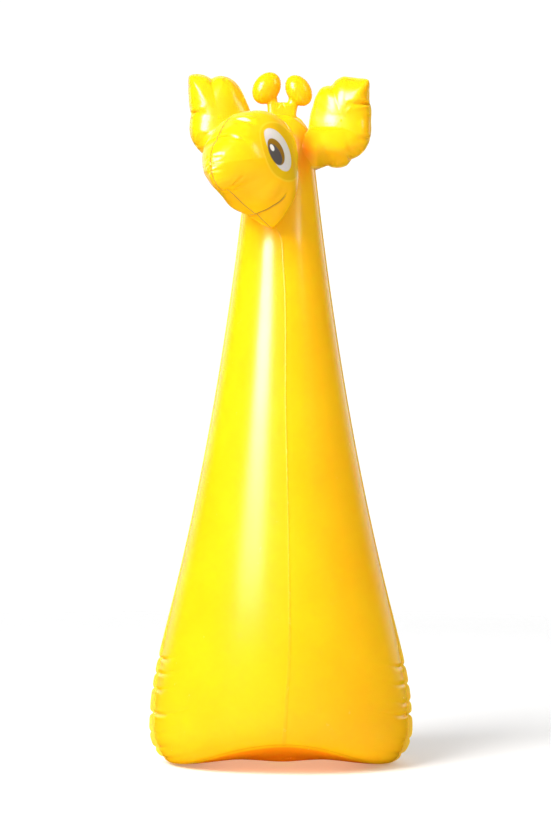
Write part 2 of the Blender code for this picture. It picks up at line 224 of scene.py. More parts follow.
# Surface of the vinyl: roughness, what wear and welding add to it, and how many of each mark
# there are in a metre
SHEET_ROUGHNESS = 0.21
VALVE_ROUGHNESS = 0.32
ROUGHER = 0.12
CLOUDS = 9.0
RIPPLES = 26.0
MARKS = 55.0
GRAIN = 1500.0

# Painted shade: a deep orange painted into the vinyl's colour in the gap between neck, head and
# ear, as seen from the front, where shade falls and light has gone through the vinyl several times; the same
# painted shade on the bottom panel
PAINTED_SHADE_MIDDLE = (31 * MM, 793 * MM)
PAINTED_SHADE_SIZE = (12 * MM, 32 * MM)
GUSSET_PAINTED_SHADE = 0.85

# Light that soaks through the thin sheets: it travels far in red and little in blue
GLOW_SHARE = 0.5
GLOW_RADIUS = (1.0, 0.3, 0.03)
GLOW_SCALE = 9 * MM

# Printed eye, in the head's side view: middle, half-length and half-width in millimetres,
# lean in degrees, edge softness in millimetres, and colour
EYE_PRINT = [
    ((1.5, 12.6), 40.2, 37.0, 23, 1.2, (0.88, 0.56, 0.02)),
    ((1.5, 12.6), 38.2, 35.0, 23, 0.8, (0.74, 0.455, 0.004)),
    ((9.8, 13.8), 29.1, 18.7, 19, 0.5, (0.66, 0.61, 0.55)),
    ((15.9, 10.1), 17.9, 13.3, 16, 0.5, (0.30, 0.15, 0.012)),
    ((18.3, 6.6), 14.6, 9.0, 26, 0.9, (0.10, 0.085, 0.08)),
    ((22.2, 14.8), 4.5, 3.4, 8, 0.5, (0.82, 0.78, 0.74)),
]

# Head details
HEAD_REACH = 75 * MM
HEAD_SEAM_WIDTH = 0.8 * MM
HEAD_SEAM_DEPTH = 0.35 * MM
SNOUT_PUCKERS = 0.6
# The smile, as (distance from the middle seam, how far forward)
MOUTH_LINE = [(0.0, 12.3 * MM), (7.6 * MM, 11.0 * MM), (13.2 * MM, 8.5 * MM), (22.6 * MM, 4.0 * MM),
              (32.2 * MM, -2.0 * MM), (37.1 * MM, -3.8 * MM), (44.0 * MM, -4.4 * MM)]
MOUTH_HALF_WIDTH = 43 * MM
MOUTH_WIDTH = 1.2 * MM
MOUTH_DEPTH = 2.2 * MM
JAW_DROP = 0.7 * MM
# Creases of the head, in millimetres from its middle: start, end, width, depth, and whether
# it runs out at both ends.  Then soft swells: middle, size and height.
HEAD_FOLDS = [
    ((40.5, 6.0, 61.5), (30.0, 37.0, 47.0), 3.0, 3.2, True),
    ((64.6, 4.0, 37.0), (57.5, 40.0, 24.5), 1.9, 2.7, False),
    ((86.0, 0.0, 12.0), (78.0, 17.0, 11.0), 1.4, 1.4, False),
    ((87.0, 0.0, 2.5), (79.0, 17.0, 1.0), 1.4, 1.6, False),
    ((87.0, 0.0, -8.0), (80.0, 15.0, -8.0), 1.4, 1.3, False),
    ((65.9, 15.0, -26.6), (57.4, 28.0, -18.0), 1.5, 1.2, False),
    ((57.2, 8.6, -30.7), (48.5, 24.0, -26.0), 1.5, 1.2, False),
]
HEAD_PUFFS = [((55 * MM, 14 * MM, 46 * MM), 11 * MM, 1.4 * MM),
              ((52 * MM, 41 * MM, 12 * MM), 14 * MM, 0.6 * MM),
              ((62 * MM, 0.0, -28 * MM), 5 * MM, -2.0 * MM)]

# Studio floor: it glows a little, more so further out, and a warm glow is painted under the part
FLOOR_RADIUS = 3.0
FLOOR_FADE = (1.35, 3.0)
FLOOR_GREY = 0.84
FLOOR_ROUGHNESS = 0.85
FLOOR_GLOW_NEAR = 0.1
FLOOR_GLOW_FAR = 0.25
FLOOR_GLOW_REACH = (0.35, 1.25)
UNDERGLOW = 0.3
UNDERGLOW_REACH = (0.06, 0.2)
UNDERGLOW_TINT = (1.0, 0.68, 0.36)

# Studio room and lamps.  The gloss mirrors only the back of the room, above its horizon.
# Each lamp has a place, an aim, a size and watts, and lights the gloss, the colour or both.
ROOM_BACK = (0.45, 0.95)
ROOM_HORIZON = (-0.1, 0.08)
ROOM_SEEN = 1.05
ROOM_LIGHT = 0.49
SOFT_BOXES = [
    ("key", (-1.35, -1.75, 1.62), (0.0, 0.0, 0.6), (0.8, 1.3), 82.0, "gloss"),
    ("soft", (-1.5, -1.58, 2.25), (0.0, 0.0, 0.6), (1.5, 1.5), 122.0, "colour"),
    ("front", (-0.3, -2.7, 1.3), (0.0, 0.0, 0.3), (1.0, 1.0), 5.0, "colour"),
    ("edge", (1.7, -1.28, 1.95), (0.0, 0.0, 0.75), (0.42, 1.1), 7.0, "both"),
    ("top", (0.3, 0.8, 2.4), (0.0, 0.0, 0.3), (2.2, 1.6), 12.0, "colour"),
]


def spread(count, peaks, start, end):
    """Places from start to end, closer together near each peak (place, width, weight)."""
    fine = np.linspace(start, end, 6001)
    density = np.ones_like(fine)
    for place, width, weight in peaks:
        density += weight * np.exp(-((fine - place) / width) ** 2)
    total = np.concatenate(([0.0], np.cumsum((density[1:] + density[:-1]) / 2)))
    return np.interp(np.linspace(0.0, total[-1], count), total, fine)


def ease(value):
    """0 to 1 with a soft start and end."""
    value = np.clip(value, 0.0, 1.0)
    return value * value * (3.0 - 2.0 * value)


def power(value, exponent):
    """A power that keeps the sign of its base."""
    return np.sign(value) * np.abs(value) ** exponent


def soft_minimum(first, second, blend):
    """The smaller of two sizes, with the change from one to the other rounded."""
    return -blend * np.logaddexp(-first / blend, -second / blend)


def soft_curve(stations, at):
    """A smooth curve through (place, value) stations, in rising order of place."""
    places = np.array([place for place, value in stations], float)
    values = np.array([value for place, value in stations], float)
    slopes = np.gradient(values, places)
    at = np.clip(at, places[0], places[-1])
    index = np.clip(np.searchsorted(places, at) - 1, 0, len(places) - 2)
    span = places[index + 1] - places[index]
    t = (at - places[index]) / span
    rise = values[index + 1] - values[index]
    first, second = slopes[index] * span, slopes[index + 1] * span
    bend = (3 * rise - 2 * first - second) * t ** 2 + (first + second - 2 * rise) * t ** 3
    return values[index] + first * t + bend


def smooth_ring(stations, angle):
    """Radius at an angle, on a smooth closed curve through (degrees, radius) stations."""
    count = len(stations)
    turned = np.degrees(angle) % 360.0
    radius = np.zeros_like(turned)
    for index in range(count):
        start, end = stations[index][0], stations[(index + 1) % count][0]
        span = (end - start) % 360.0
        t = ((turned - start) % 360.0) / span
        before, first = stations[index - 1][1], stations[index][1]
        second, after = stations[(index + 1) % count][1], stations[(index + 2) % count][1]
        curve = 0.5 * (2 * first + (second - before) * t
                       + (2 * before - 5 * first + 4 * second - after) * t ** 2
                       + (3 * first - before - 3 * second + after) * t ** 3)
        radius = np.where(t <= 1.0, curve, radius)
    return radius


def fold(points, start, end, width, depth, axes=(0, 2), both=False, swell=0.3):
    """Relief of a crease that is pressed in at start and runs out at end: a groove between
    two low swells.  It is measured along two axes, so it marks all the skin in its way.
    With both set, it runs out at both ends."""
    start, end = np.array(start), np.array(end)
    line = end - start
    away = points[..., list(axes)] - start
    along = away @ line / (line @ line)
    inside = np.clip(along, 0.0, 1.0)
    across = np.linalg.norm(away - inside[..., None] * line, axis=-1)
    run = 4.0 * inside * (1.0 - inside) if both else (1.0 - inside) ** 0.8
    wide = width * (0.6 + 0.8 * inside)
    groove = np.exp(-(across / wide) ** 2)
    bank = swell * np.exp(-((across - 2.2 * wide) / (1.2 * wide)) ** 2)
    return depth * run * (bank - groove)


def grid_normals(points):
    """Unit normals of a grid whose columns close into a ring."""
    across = np.roll(points, -1, axis=1) - np.roll(points, 1, axis=1)
    along = np.gradient(points, axis=0)
    normals = np.cross(across, along)
    length = np.linalg.norm(normals, axis=-1, keepdims=True)
    return normals / np.maximum(length, 1e-12)


def skin(name, points, material, **marks):
    """A closed object from a grid of rings, each end closed by a fan on one point.  Marks are
    shares of each vertex that the material reads, such as its welded lines."""
    rows, columns = points.shape[:2]
    ring = np.arange(rows * columns).reshape(rows, columns)
    after = np.roll(ring, -1, axis=1)
    quads = np.stack([ring[:-1], after[:-1], after[1:], ring[1:]], -1).reshape(-1, 4)
    low, high = rows * columns, rows * columns + 1
    ends = points[[0, -1]].mean(axis=1)
    fans = [(low, b, a) for a, b in zip(ring[0], after[0])]
    fans += [(high, a, b) for a, b in zip(ring[-1], after[-1])]
    mesh = bpy.data.meshes.new(name)
    mesh.from_pydata(np.vstack([points.reshape(-1, 3), ends]).tolist(), [], quads.tolist() + fans)
    mesh.update()
    mesh.shade_smooth()
    for label, values in marks.items():
        mark = mesh.attributes.new(label, "FLOAT", "POINT")
        mark.data.foreach_set("value", np.append(values.ravel(), (0.0, 0.0)).astype(np.float32))
    mesh.materials.append(material)
    item = bpy.data.objects.new(name, mesh)
    bpy.context.scene.collection.objects.link(item)
    return item


def flare(height, neck_half, hip_half):
    """Half-width of the flaring body at a height: it widens faster towards the floor."""
    rise = np.exp((NECK_SHOULDER - height) / FLARE_LENGTH) - 1.0
    full_rise = np.exp((NECK_SHOULDER - HIP_HEIGHT) / FLARE_LENGTH) - 1.0
    return neck_half + (hip_half - neck_half) * rise / full_rise


def body_half_width(height):
    return soft_minimum(flare(height, NECK_WIDTH / 2, HIP_WIDTH / 2), BASE_WIDTH / 2, BASE_EASE)


def body_half_depth(height):
    return soft_minimum(flare(height, NECK_DEPTH / 2, HIP_DEPTH / 2), BASE_DEPTH / 2, BASE_EASE)


def hem_height(turn):
    """Height of the hem around the base: arches at front and back, feet at the sides."""
    return ARCH_HEIGHT * np.abs(np.sin(turn)) ** ARCH_ROUNDING


def side_outline(above):
    """The side weld's outer edge, seen from the front, at a height above the hem."""
    low = np.clip(1.0 - above / FOOT_HEIGHT, 0.0, 1.0)
    return body_half_width(above) - FOOT_TUCK * (1.0 - np.sqrt(1.0 - low ** 2))


def side_margin(above):
    """Width of the flat weld outside the skin: widest at the feet, narrow up the neck."""
    wide = MARGIN_NECK + (MARGIN_FOOT - MARGIN_NECK) * (1.0 - ease(above / MARGIN_FADE))
    return wide * (0.25 + 0.75 * ease(above / (24 * MM)))


def body_columns():
    """Around the body from its left side seam: turn, reach across the margin and sheet side."""
    reach = np.linspace(0.0, 1.0, 7)
    back = spread(92, [(pi / 2, 0.06, 8), (0, 0.25, 1.5), (pi, 0.25, 1.5)], 0.0, pi)
    front = spread(128, [(1.5 * pi, 0.05, 14), (pi, 0.3, 2), (2 * pi, 0.3, 2)], pi, 2 * pi)
    turn, out, sheet = [], [], []
    for turns, reaches, side in (
        (0.0, reach[::-1], 1), (back[1:-1], 0.0, 1), (pi, reach, 1),
        (pi, reach[::-1], -1), (front[1:-1], 0.0, -1), (2 * pi, reach, -1),
    ):
        size = max(np.size(turns), np.size(reaches))
        turn.append(np.broadcast_to(turns, size))
        out.append(np.broadcast_to(reaches, size))
        sheet.append(np.full(size, side))
    return np.concatenate(turn), np.concatenate(out), np.concatenate(sheet)


def wall_heights():
    """Heights above the hem of the wall's rings, closer together where the weld puckers."""
    foot = FOOT_HEIGHT * (1.0 - np.cos(np.linspace(0.0, pi / 2, 66)))
    peaks = [(height, 6 * MM, 3.0) for height in RIGHT_PUCKERS + LEFT_PUCKERS if height > FOOT_HEIGHT]
    peaks += [(95 * MM, 60 * MM, 6.0), (444 * MM, 14 * MM, 2.0), (800 * MM, 60 * MM, 1.0)]
    upper = spread(200, peaks, FOOT_HEIGHT, NECK_SHOULDER)
    return np.concatenate((foot, upper[1:]))


def scallops(height, side):
    """How far the side weld's edge stands in (-) or out (+) between its puckers."""
    puckers = np.array(sorted(RIGHT_PUCKERS if side < 0 else LEFT_PUCKERS))
    shift = np.zeros_like(height)
    for pucker in puckers:
        deep = PUCKER_NOTCH * (1.5 if pucker in DEEP_PUCKERS else 0.8)
        shift -= deep * np.exp(-(np.abs(height - pucker) / PUCKER_WIDTH) ** 1.4)
    return shift


def section(turn, half_width, half_depth, sharpness):
    """x and y of a level section, with pointed sides and a slight keel front and back."""
    keel = 1.0 + KEEL * (1.0 - np.abs(np.cos(turn)))
    return half_width * np.cos(turn), half_depth * keel * power(np.sin(turn), 2.0 * sharpness)


def body_wall(turn, out, sheet, above):
    """The inflated wall and its side welds: one ring of points for each height."""
    turn, out, sheet = turn[None, :], out[None, :], sheet[None, :]
    above = above[:, None]
    hem = hem_height(turn)
    share = above / NECK_SHOULDER
    height = hem + (NECK_SHOULDER - hem) * share
    step = 0.2 * MM
    slope = (side_outline(above + step) - side_outline(np.maximum(above - step, 0.0)))
    slope = slope / (above + step - np.maximum(above - step, 0.0))
    length = np.sqrt(1.0 + slope ** 2)
    side = np.sign(np.cos(turn))
    margin = side_margin(above)
    wave = np.where(side < 0, scallops(above, -1), scallops(above, 1))
    inward = margin * (1.0 - out) - wave * (0.35 + 0.65 * out)
    near_side = np.abs(np.cos(turn)) ** 3
    low = np.clip(1.0 - above / FOOT_HEIGHT, 0.0, 1.0)
    tuck = 1.0 - np.sqrt(1.0 - low ** 2)
    half_width = body_half_width(height) - FOOT_TUCK * tuck - inward / length * near_side
    half_depth = body_half_depth(height) - HEM_TUCK * tuck
    sharpness = 0.5 + (FOOT_SHARPNESS - 0.5) * (1.0 - np.minimum(1.0, height / NECK_SHOULDER)) ** 2
    x, y = section(turn, half_width, half_depth, sharpness)
    y = np.where(out > 0, 0.0, y) + sheet * SHEET * (1.0 - 0.7 * out ** 6)
    z = height + inward * slope / length * near_side
    return np.stack(np.broadcast_arrays(x, y, np.maximum(z, 0.0)), -1)


def body_gusset(hem, rings):
    """The bottom panel: from the hem in to its middle, which hangs just clear of the floor
    while the giraffe stands on its two feet."""
    reach = PATCH_SHARE + (1.0 - PATCH_SHARE) * rings
    panel = hem[None] * reach[:, None, None]
    rings = rings[:, None]
    panel[..., 2] = hem[None, :, 2] * rings ** GUSSET_FULLNESS + GUSSET_LIFT * ease(1.3 * (1.0 - rings))
    return panel


def body_dome(turn, out, shoulder, angles):
    """The neck's rounded top, from just above the shoulder to the crown."""
    span = NECK_TOP - NECK_SHOULDER
    angles = angles[:, None]
    flat = power(np.cos(angles), 2 / NECK_TOP_SQUARENESS)
    x = shoulder[None, :, 0] * flat
    y = shoulder[None, :, 1] * power(np.cos(angles), 0.9)
    y = np.where(out[None] > 0, shoulder[None, :, 1], y)
    z = NECK_SHOULDER + span * power(np.sin(angles), 2 / NECK_TOP_SQUARENESS)
    rise = side_margin(NECK_SHOULDER) * np.sin(angles) * (1.0 - out[None])
    near_side = np.abs(np.cos(turn[None])) ** 3
    return np.stack(np.broadcast_arrays(x, y, z - rise * near_side), -1)


def follow_seam(points, turn):
    """Slide the columns at the front and back sideways, so that one keeps to the seam."""
    offset = soft_curve(SEAM_PATH, points[..., 2])
    points[..., 0] += offset * np.abs(np.sin(turn))[None] ** 6
    return points


def seam_relief(points, turn):
    """A flat raised strip down the middle of the front and back, and where it is welded."""
    across = points[..., 0] - soft_curve(SEAM_PATH, points[..., 2])
    wide = SEAM_WIDTH_HIGH + (SEAM_WIDTH_LOW - SEAM_WIDTH_HIGH) * (1.0 - ease(points[..., 2] / 0.35))
    edge = 0.45 * MM
    strip = 0.5 * (np.tanh((across + wide / 2) / edge) - np.tanh((across - wide / 2) / edge))
    strip = strip * (np.abs(np.sin(turn))[None] > 0.5)
    return SEAM_HEIGHT * strip, strip


def body_folds(points):
    """Creases of the body: at every pucker of the side welds, and across the neck."""
    relief = np.zeros(points.shape[:2])
    for side, puckers in ((-1, RIGHT_PUCKERS), (1, LEFT_PUCKERS)):
        for index, height in enumerate(puckers):
            edge = side_outline(np.array(height))
            lean = (0.25 if index % 2 else -0.15) * PUCKER_LENGTH
            long = PUCKER_LENGTH * (1.25 if height in DEEP_PUCKERS else 0.8)
            start = (side * edge, height)
            end = (side * (edge - long), height + lean * 0.6 + 0.35 * np.maximum(0.0, 30 * MM - height))
            depth = 2.4 * MM if height in DEEP_PUCKERS else 1.5 * MM
            relief += fold(points, start, end, 2.0 * MM, depth)
    front = points[..., 1] < 0
    for start, end in WRINKLES:
        relief += front * fold(points, start, end, WRINKLE_WIDTH, WRINKLE_DEPTH, both=True)
    return relief


def hidden_share(points):
    """How much painted shade a place gets: how much of it lies in the narrow gap between neck,
    head and ear, where shade falls and the light has gone through the vinyl several times."""
    away = (points[..., ::2] - np.array(PAINTED_SHADE_MIDDLE)) / np.array(PAINTED_SHADE_SIZE)
    return np.exp(-(away ** 2).sum(-1)) * (points[..., 1] < 0.02)


def make_body(material):
    turn, out, sheet = body_columns()
    wall = body_wall(turn, out, sheet, wall_heights())
    gusset = body_gusset(wall[0], np.linspace(0.0, 1.0, 30)[:-1])
    dome = body_dome(turn, out, wall[-1], np.linspace(0.0, pi / 2, 36)[1:-1])
    points = follow_seam(np.concatenate((gusset, wall, dome)), turn)
    normals = grid_normals(points)
    strip, weld = seam_relief(points, turn)
    strip[:len(gusset)] = 0.0
    weld[:len(gusset)] = 0.0
    skin_share = np.where(out > 0, 0.0, 1.0)[None]
    on_wall = ease((points[..., 2] - 2 * MM) / (8 * MM))
    relief = strip * on_wall + body_folds(points) * (0.15 + 0.85 * skin_share)
    points = points + normals * relief[..., None]
    points[..., 2] = np.maximum(points[..., 2], 0.0)
    flange = np.broadcast_to(out > 0, weld.shape).astype(float)
    hidden = hidden_share(points)
    rows = len(gusset)
    # Painted shade over the bottom panel, fading out just before its hem
    hidden[:rows] += GUSSET_PAINTED_SHADE * ease(9.0 * (1.0 - np.linspace(0.0, 1.0, rows)[:, None]))
    return skin("giraffe_body", points, material, weld=0.5 * weld, flange=flange, hidden=hidden)


def cheek_profile(longitude):
    """The head's profile with its lip and chin averaged away, as the cheeks have it."""
    shifts = np.radians(np.arange(-45.0, 46.0, 5.0))
    shares = np.exp(-(shifts / CHEEK_BLUR) ** 2 / 2)
    return sum(share * smooth_ring(HEAD_PROFILE, longitude + shift)
               for shift, share in zip(shifts, shares / shares.sum()))


def head_base(longitude, latitude):
    """The head's plain form: longitude runs along its middle seam, latitude to its cheeks."""
    squareness = smooth_ring([(place, square) for place, square, keel in HEAD_SECTIONS], longitude)
    keel = smooth_ring([(place, keel) for place, square, keel in HEAD_SECTIONS], longitude)
    squareness = squareness + (HEAD_POLE - squareness) * np.abs(np.sin(latitude)) ** 3
    side = power(np.sin(latitude), 2.0 / squareness)
    cheek = cheek_profile(longitude)
    profile = cheek + (smooth_ring(HEAD_PROFILE, longitude) - cheek) * np.exp(
        -(HEAD_WIDTH / 2 * side / HEAD_DETAIL) ** 2)
    reach = profile * power(np.cos(latitude), 2.0 / squareness)
    reach = reach * (1.0 - np.maximum(0.0, keel) * np.abs(side))
    return np.stack((reach * np.cos(longitude), HEAD_WIDTH / 2 * side, reach * np.sin(longitude)), -1)


def head_seam(points, longitude):
    """The weld down the head's middle: a thin groove between two low swells, with small
    puckers across it that are deepest round the tip of the snout."""
    across = np.abs(points[..., 1])
    groove = np.exp(-(across / HEAD_SEAM_WIDTH) ** 2)
    bank = 0.5 * np.exp(-((across - 2.4 * MM) / (1.6 * MM)) ** 2)
    relief = HEAD_SEAM_DEPTH * (bank - groove)
    chance = np.random.default_rng(11)
    arc = longitude * HEAD_REACH
    place = 0.0
    while place < 2 * pi * HEAD_REACH:
        place += chance.uniform(4 * MM, 9 * MM)
        at_tip = np.exp(-(((place / HEAD_REACH + pi) % (2 * pi) - pi) / SNOUT_PUCKERS) ** 2)
        deep = chance.uniform(0.25, 0.9) * MM * (0.05 + 0.45 * at_tip)
        long = chance.uniform(3.0, 8.0) * MM
        cut = np.exp(-((arc - place) / (0.9 * MM)) ** 2)
        swell = 0.4 * np.exp(-((np.abs(arc - place) - 2.2 * MM) / (1.1 * MM)) ** 2)
        relief = relief + deep * (swell - cut) * np.exp(-(across / long) ** 1.5)
    return relief, groove


def mouth_relief(points):
    """The smile: a thin crease round the underside of the snout, with the jaw set back
    behind it, and how strongly it is marked."""
    x, y, z = points[..., 0], points[..., 1], points[..., 2]
    behind = soft_curve(MOUTH_LINE, np.abs(y)) - x
    in_reach = ease((-16 * MM - z) / (14 * MM)) * ease((MOUTH_HALF_WIDTH - np.abs(y)) / (10 * MM))
    groove = np.exp(-(behind / MOUTH_WIDTH) ** 2)
    lip = 0.25 * np.exp(-((behind + 4.0 * MM) / (3.0 * MM)) ** 2)
    jaw = ease(behind / (1.6 * MM)) * np.exp(-(np.maximum(behind, 0.0) / (13 * MM)) ** 2)
    return in_reach * (MOUTH_DEPTH * (lip - groove) - JAW_DROP * jaw), in_reach * groove


def head_fold(points, start, end, width, depth, both):
    """Relief of a crease that keeps to the round skin of the head from start to end."""
    start, end = np.array(start) * MM, np.array(end) * MM
    line = (end - start) / np.linalg.norm(end - start)
    beside = np.cross(start, end)
    flat = np.stack((points @ line, points @ (beside / np.linalg.norm(beside))), -1)
    mark = fold(flat, (start @ line, 0.0), (end @ line, 0.0), width * MM, depth * MM, (0, 1), both, 0.4)
    return mark * (points @ (start + end) > 0.0)


def head_folds(points):
    """Creases over the bridge of the snout, at its tip and beside the lip, and soft puffs."""
    relief = np.zeros(points.shape[:2])
    for side in (1.0, -1.0):
        own = points * (1.0, side, 1.0)
        for crease in HEAD_FOLDS:
            relief += head_fold(own, *crease)
        for middle, size, height in HEAD_PUFFS:
            relief += height * np.exp(-(np.linalg.norm(own - np.array(middle), axis=-1) / size) ** 2)
    return relief


def make_head(material):
    fine = [(4.90, 0.07, 3.0), (5.85, 0.12, 2.0), (0.7, 0.3, 1.0)]
    longitude = spread(431, fine, 0.0, 2 * pi)[None, :0:-1]
    latitude = spread(222, [(0.0, 0.04, 6.0)], -pi / 2, pi / 2)[1:-1, None]
    points = head_base(longitude, latitude)
    normals = grid_normals(points)
    relief, weld = head_seam(points, longitude)
    mouth, line = mouth_relief(points)
    points = points + normals * (relief + mouth + head_folds(points))[..., None]
    head = skin("giraffe_head", points, material, weld=2.2 * np.maximum(weld, line))
    local = head.data.attributes.new("cheek", "FLOAT_VECTOR", "POINT")
    local.data.foreach_set("vector", vertex_points(head.data).ravel())
    forward = Vector((-sin(HEAD_TURN), -cos(HEAD_TURN), 0.0))
    up = Matrix.Rotation(HEAD_ROLL, 3, forward) @ Vector((0.0, 0.0, 1.0))
    place = Matrix((forward, up.cross(forward), up)).transposed().to_4x4()
    place.translation = HEAD_PLACE
    head.data.transform(place)
    return head


def ring_of(outline):
    """An outline of (x, z) points as (degrees, radius) stations round its middle."""
    return sorted((float(np.degrees(np.arctan2(z, x)) % 360.0), float(np.hypot(x, z)) * MM)
                  for x, z in outline)


def root_share(z):
    """How much of the ear's root there is at a height."""
    low, high = [ease((z - start) / (end - start)) for start, end in (ROOT_LOW, ROOT_HIGH)]
    return low * (1.0 - high)


def neck_front(x, z):
    """y of the neck's front skin at a place seen from the front, running on into the root of
    the ear beside it."""
    dome = np.clip((z - NECK_SHOULDER) / (NECK_TOP - NECK_SHOULDER), 0.0, 0.97)
    angle = np.arcsin(power(dome, NECK_TOP_SQUARENESS / 2))
    half_width = body_half_width(z) * power(np.cos(angle), 2 / NECK_TOP_SQUARENESS)
    half_depth = body_half_depth(z) * power(np.cos(angle), 0.9)
    start = 0.97 * half_width
    start = start + (np.minimum(ROOT_START, start) - start) * root_share(z)
    share = np.minimum(np.abs(x), start) / half_width
    front = -half_depth * np.sqrt(1.0 - share ** 2)
    slope = half_depth / half_width * share / np.sqrt(1.0 - share ** 2)
    past = np.abs(x) - start
    run = ROOT_RUN * (1.0 - np.exp(-np.maximum(past, 0.0) / ROOT_RUN))
    bend = np.maximum(past - ROOT_END, 0.0) ** 2 / (2 * ROOT_BEND)
    front = np.minimum(front + run * slope + bend, 0.0)
    return front + 1 * MM * (1.0 - ease((past + 1 * MM) / (6 * MM)))


def make_ear(name, place, outline, folds, slant, root, material):
    """A pillow of two sheets welded along its rim, its inner side melting into the neck."""
    turn = np.linspace(0.0, 2 * pi, EAR_COLUMNS, endpoint=False)[None, :]
    swell = np.sin(np.linspace(0.0, pi / 2, EAR_RINGS + 1))[1:, None]
    rim = smooth_ring(ring_of(outline), turn)
    reach = np.sqrt(np.maximum(0.0, 1.0 - swell ** 2.0)) ** 0.85
    half = EAR_THICKNESS / 2 * swell ** 1.05
    inner = rim - EAR_MARGIN
    zero = np.zeros_like(rim)
    radius = np.concatenate((inner * reach[::-1], inner, rim, rim, inner, inner * reach))
    beside = np.abs((np.degrees(turn) - root + 180.0) % 360.0 - 180.0) / ROOT_SPAN
    radius = radius + ROOT_REACH * ease(1.4 * (1.0 - beside)) * (radius / rim) ** 5
    depth = np.concatenate((half[::-1] + zero, zero + SHEET, zero + 0.3 * SHEET, zero - 0.3 * SHEET,
                            zero - SHEET, zero - half))
    x, z = radius * np.cos(turn), radius * np.sin(turn)
    points = np.stack((x, depth, z), -1)
    normals = grid_normals(points)
    relief = np.zeros(radius.shape)
    front = points[..., 1] < 0
    for start, end, width, deep in folds:
        start, end = np.array(start) * MM, np.array(end) * MM
        mark = fold(points, start, end, width * MM, deep * MM, swell=0.45)
        relief += np.where(front, mark, 0.6 * mark)
    inside = 1.0 - ease((radius - (inner - 2 * MM)) / (2.5 * MM))
    points = points + normals * (relief * (0.35 + 0.65 * inside))[..., None]
    upper = (points[..., 2] + np.hypot(points[..., 2], 25 * MM)) / 2
    points[..., 1] += slant[0] * points[..., 0] + slant[1] * upper
    points = points + np.array(place)
    neck = neck_front(points[..., 0], points[..., 2])
    melted = soft_minimum(points[..., 1], neck, EAR_BLEND * (1.0 + root_share(points[..., 2])))
    beyond = ease((np.abs(points[..., 0]) - NECK_WIDTH / 2) / (14 * MM))
    melted = points[..., 1] + (melted - points[..., 1]) * (1.0 - beyond * (radius / rim) ** 6)
    points[..., 1] = np.where(front, melted, points[..., 1])
    flange = np.zeros(radius.shape)
    middle = len(swell)
    flange[middle:middle + 4] = 1.0
    return skin(name, points, material, flange=flange, hidden=hidden_share(points))


def add_form(target, build, place):
    """Add one closed form to the mesh that a piece is welded from."""
    for vertex in build(target)["verts"]:
        vertex.co = place(vertex.co)


def horn_forms():
    """For each side a balloon and a stem, and the flat sheet that the stems rise from, as one
    bmesh."""
    forms = bmesh.new()

    def sphere(bm):
        return bmesh.ops.create_uvsphere(bm, u_segments=48, v_segments=24, radius=1.0)

    def cone(bm):
        return bmesh.ops.create_cone(bm, cap_ends=True, segments=32, radius1=STEM_FOOT, radius2=1.0,
                                     depth=1.0)

    for (middle, half_sizes, lean), (foot, top, half_width) in zip(HORN_BALLS, HORN_STEMS):

        def on_ball(point, middle=Vector(middle), half_sizes=half_sizes, lean=lean):
            across, along = point.x * half_sizes[0], point.z * half_sizes[1]
            return middle + Vector((across * cos(lean) + along * sin(lean), point.y * HORN_THICKNESS / 2,
                                    along * cos(lean) - across * sin(lean)))

        def on_stem(point, foot=foot, top=top, half_width=half_width):
            middle = Vector((foot[0], 0.0, foot[1])).lerp(Vector((top[0], 0.0, top[1])), point.z + 0.5)
            return middle + Vector((point.x * half_width, point.y * STEM_THICKNESS / STEM_FOOT, 0.0))

        add_form(forms, sphere, on_ball)
        add_form(forms, cone, on_stem)

    for middle, half_sizes, roundness in HORN_SHEETS:

        def on_sheet(point, middle=middle, half_sizes=half_sizes, roundness=roundness):
            away = [power(part, roundness) * half for part, half in zip(point, half_sizes)]
            return Vector((middle[0] + away[0], away[1], middle[1] + away[2]))

        add_form(forms, sphere, on_sheet)
    return forms


def vertex_points(mesh):
    points = np.empty(len(mesh.vertices) * 3)
    mesh.vertices.foreach_get("co", points)
    return points.reshape(-1, 3)


def vertex_normals(mesh):
    normals = np.empty(len(mesh.vertices) * 3)
    mesh.vertex_normals.foreach_get("vector", normals)
    return normals.reshape(-1, 3)


def make_horns(material):
    """Two small balloons on stems that rise from one flat sheet, welded along one rim."""
    mesh = bpy.data.meshes.new("horn_forms")
    forms = horn_forms()
    forms.to_mesh(mesh)
    forms.free()
    horns = bpy.data.objects.new("giraffe_horns", mesh)
    bpy.context.scene.collection.objects.link(horns)
    weld = horns.modifiers.new("Weld into one skin", "REMESH")
    weld.mode = "VOXEL"
    weld.voxel_size = HORN_MESH
    smooth = horns.modifiers.new("Round off", "SMOOTH")
    smooth.factor = 0.5
    smooth.iterations = 60
    depsgraph = bpy.context.evaluated_depsgraph_get()
    joined = bpy.data.meshes.new_from_object(horns.evaluated_get(depsgraph))
    horns.modifiers.clear()
    horns.data = joined
    points, normals = vertex_points(joined), vertex_normals(joined)
    rim = np.exp(-(points[:, 1] / (0.55 * MM)) ** 2)
    relief = HORN_RIM * rim
    chance = np.random.default_rng(5)
    for middle, half_sizes, lean in HORN_BALLS:
        for turn in np.arange(HORN_PUCKERS) * 360.0 / HORN_PUCKERS + chance.uniform(-9.0, 9.0, HORN_PUCKERS):
            across, along = half_sizes[0] * cos(radians(turn)), half_sizes[1] * sin(radians(turn))
            aim = np.array((across * cos(lean) + along * sin(lean), along * cos(lean) - across * sin(lean)))
            start = np.array((middle[0], middle[2])) + aim
            end = start - aim * chance.uniform(0.2, 0.4)
            relief += fold(points, start, end, HORN_PUCKER_WIDTH, chance.uniform(*HORN_PUCKER_DEPTH))
    for start, end, width, deep in HORN_FOLDS:
        relief += fold(points, np.array(start) * MM, np.array(end) * MM, width * MM, deep * MM)
    points = points + normals * relief[:, None]
    joined.vertices.foreach_set("co", points.ravel())
    mark = joined.attributes.new("weld", "FLOAT", "POINT")
    mark.data.foreach_set("value", rim.astype(np.float32))
    joined.update()
    joined.shade_smooth()
    joined.materials.clear()
    joined.materials.append(material)
    return horns


